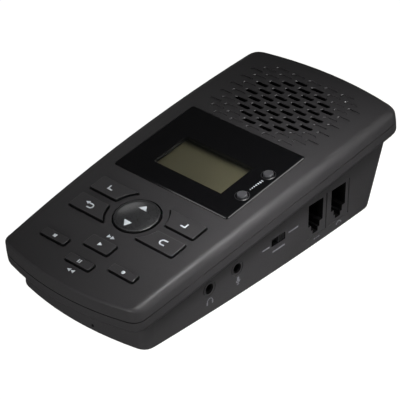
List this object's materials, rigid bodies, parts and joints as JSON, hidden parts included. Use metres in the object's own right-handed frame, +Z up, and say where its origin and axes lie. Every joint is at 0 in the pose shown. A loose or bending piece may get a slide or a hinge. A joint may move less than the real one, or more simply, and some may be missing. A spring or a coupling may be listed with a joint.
{
  "type": "phone call recorder",
  "caption": "Desktop phone call recorder: arched sloping slab on a wedge base, with display, rocker and transport keys, speaker grille, audio and modular line sockets.",
  "frame": {"origin": "on the table, under the middle of the body", "axes": "+Z up, +Y from the keys towards the speaker along the body, +X to the side with the sockets"},
  "size_m": [0.0852, 0.175, 0.0489],
  "materials": {
    "housing": "fine spark-eroded charcoal moulding",
    "keycap": "satin charcoal moulding",
    "lens": "polished black acrylic",
    "lcd": "olive reflective display glass",
    "inner_black": "plain black moulding",
    "button": "grey satin moulding",
    "silicone": "matt silicone",
    "board": "green solder resist",
    "chip": "moulded epoxy packages",
    "basket": "zinc-plated pressed steel",
    "cone": "black paper cone",
    "socket": "black glass-filled moulding",
    "gilt": "gold-plated spring wire",
    "plated": "plated steel",
    "foot": "black rubber"
  },
  "bodies": {
    "housing": {"top_cover": "housing", "bottom_case": "housing", "display_lens": "lens", "lcd_panel": "lcd", "lcd_frame": "inner_black", "key_mat": "silicone", "main_board": "board", "board_chips": "chip", "display_switches": "chip", "speaker_frame": "basket", "speaker_cone": "cone", "side_board": "board", "line_board": "board", "earphone_jack": "socket", "microphone_jack": "socket", "mode_switch_body": "plated", "line_jack": "socket", "phone_jack": "socket", "line_jack_contacts": "gilt", "phone_jack_contacts": "gilt", "power_jack": "socket", "front_microphone": "plated", "case_screws": "plated", "board_screws": "plated", "rubber_feet": "foot"},
    "left_soft_key": {"left_soft_key": "keycap"},
    "right_soft_key": {"right_soft_key": "keycap"},
    "back_key": {"back_key": "keycap"},
    "clear_key": {"clear_key": "keycap"},
    "stop_key": {"stop_key": "keycap"},
    "record_key": {"record_key": "keycap"},
    "play_key": {"play_key": "keycap"},
    "pause_key": {"pause_key": "keycap"},
    "nav_key": {"nav_key": "keycap"},
    "rear_display_button": {"rear_display_button": "button"},
    "front_display_button": {"front_display_button": "button"},
    "mode_switch_slider": {"mode_switch_slider": "inner_black"}
  },
  "joints": [
    {"name": "left_soft_key_press", "type": "slide", "parent": "housing", "child": "left_soft_key", "axis": [0, 0.1578, -0.9875], "range_m": [0, 0.0007], "stiffness_N_per_m": 1500},
    {"name": "right_soft_key_press", "type": "slide", "parent": "housing", "child": "right_soft_key", "axis": [0, 0.1578, -0.9875], "range_m": [0, 0.0007], "stiffness_N_per_m": 1500},
    {"name": "back_key_press", "type": "slide", "parent": "housing", "child": "back_key", "axis": [0, 0.166, -0.9861], "range_m": [0, 0.0007], "stiffness_N_per_m": 1500},
    {"name": "clear_key_press", "type": "slide", "parent": "housing", "child": "clear_key", "axis": [0, 0.166, -0.9861], "range_m": [0, 0.0007], "stiffness_N_per_m": 1500},
    {"name": "stop_key_press", "type": "slide", "parent": "housing", "child": "stop_key", "axis": [0, 0.1801, -0.9836], "range_m": [0, 0.0007], "stiffness_N_per_m": 1500},
    {"name": "record_key_press", "type": "slide", "parent": "housing", "child": "record_key", "axis": [0, 0.1801, -0.9836], "range_m": [0, 0.0007], "stiffness_N_per_m": 1500},
    {"name": "play_key_press", "type": "slide", "parent": "housing", "child": "play_key", "axis": [0, 0.1758, -0.9844], "range_m": [0, 0.0007], "stiffness_N_per_m": 1500},
    {"name": "pause_key_press", "type": "slide", "parent": "housing", "child": "pause_key", "axis": [0, 0.1835, -0.983], "range_m": [0, 0.0007], "stiffness_N_per_m": 1500},
    {"name": "nav_rock", "type": "hinge", "parent": "housing", "child": "nav_key", "pos_m": [0, -0.04094, 0.02913], "axis": [1, 0, 0], "range_deg": [-2.5, 2.5], "stiffness_Nm_per_rad": 0.12},
    {"name": "rear_display_button_press", "type": "slide", "parent": "housing", "child": "rear_display_button", "axis": [0, 0.1331, -0.9911], "range_m": [0, 0.0005], "stiffness_N_per_m": 2000},
    {"name": "front_display_button_press", "type": "slide", "parent": "housing", "child": "front_display_button", "axis": [0, 0.1331, -0.9911], "range_m": [0, 0.0005], "stiffness_N_per_m": 2000},
    {"name": "mode_switch_slide", "type": "slide", "parent": "housing", "child": "mode_switch_slider", "axis": [0, -1, 0], "range_m": [0, 0.0042]}
  ]
}
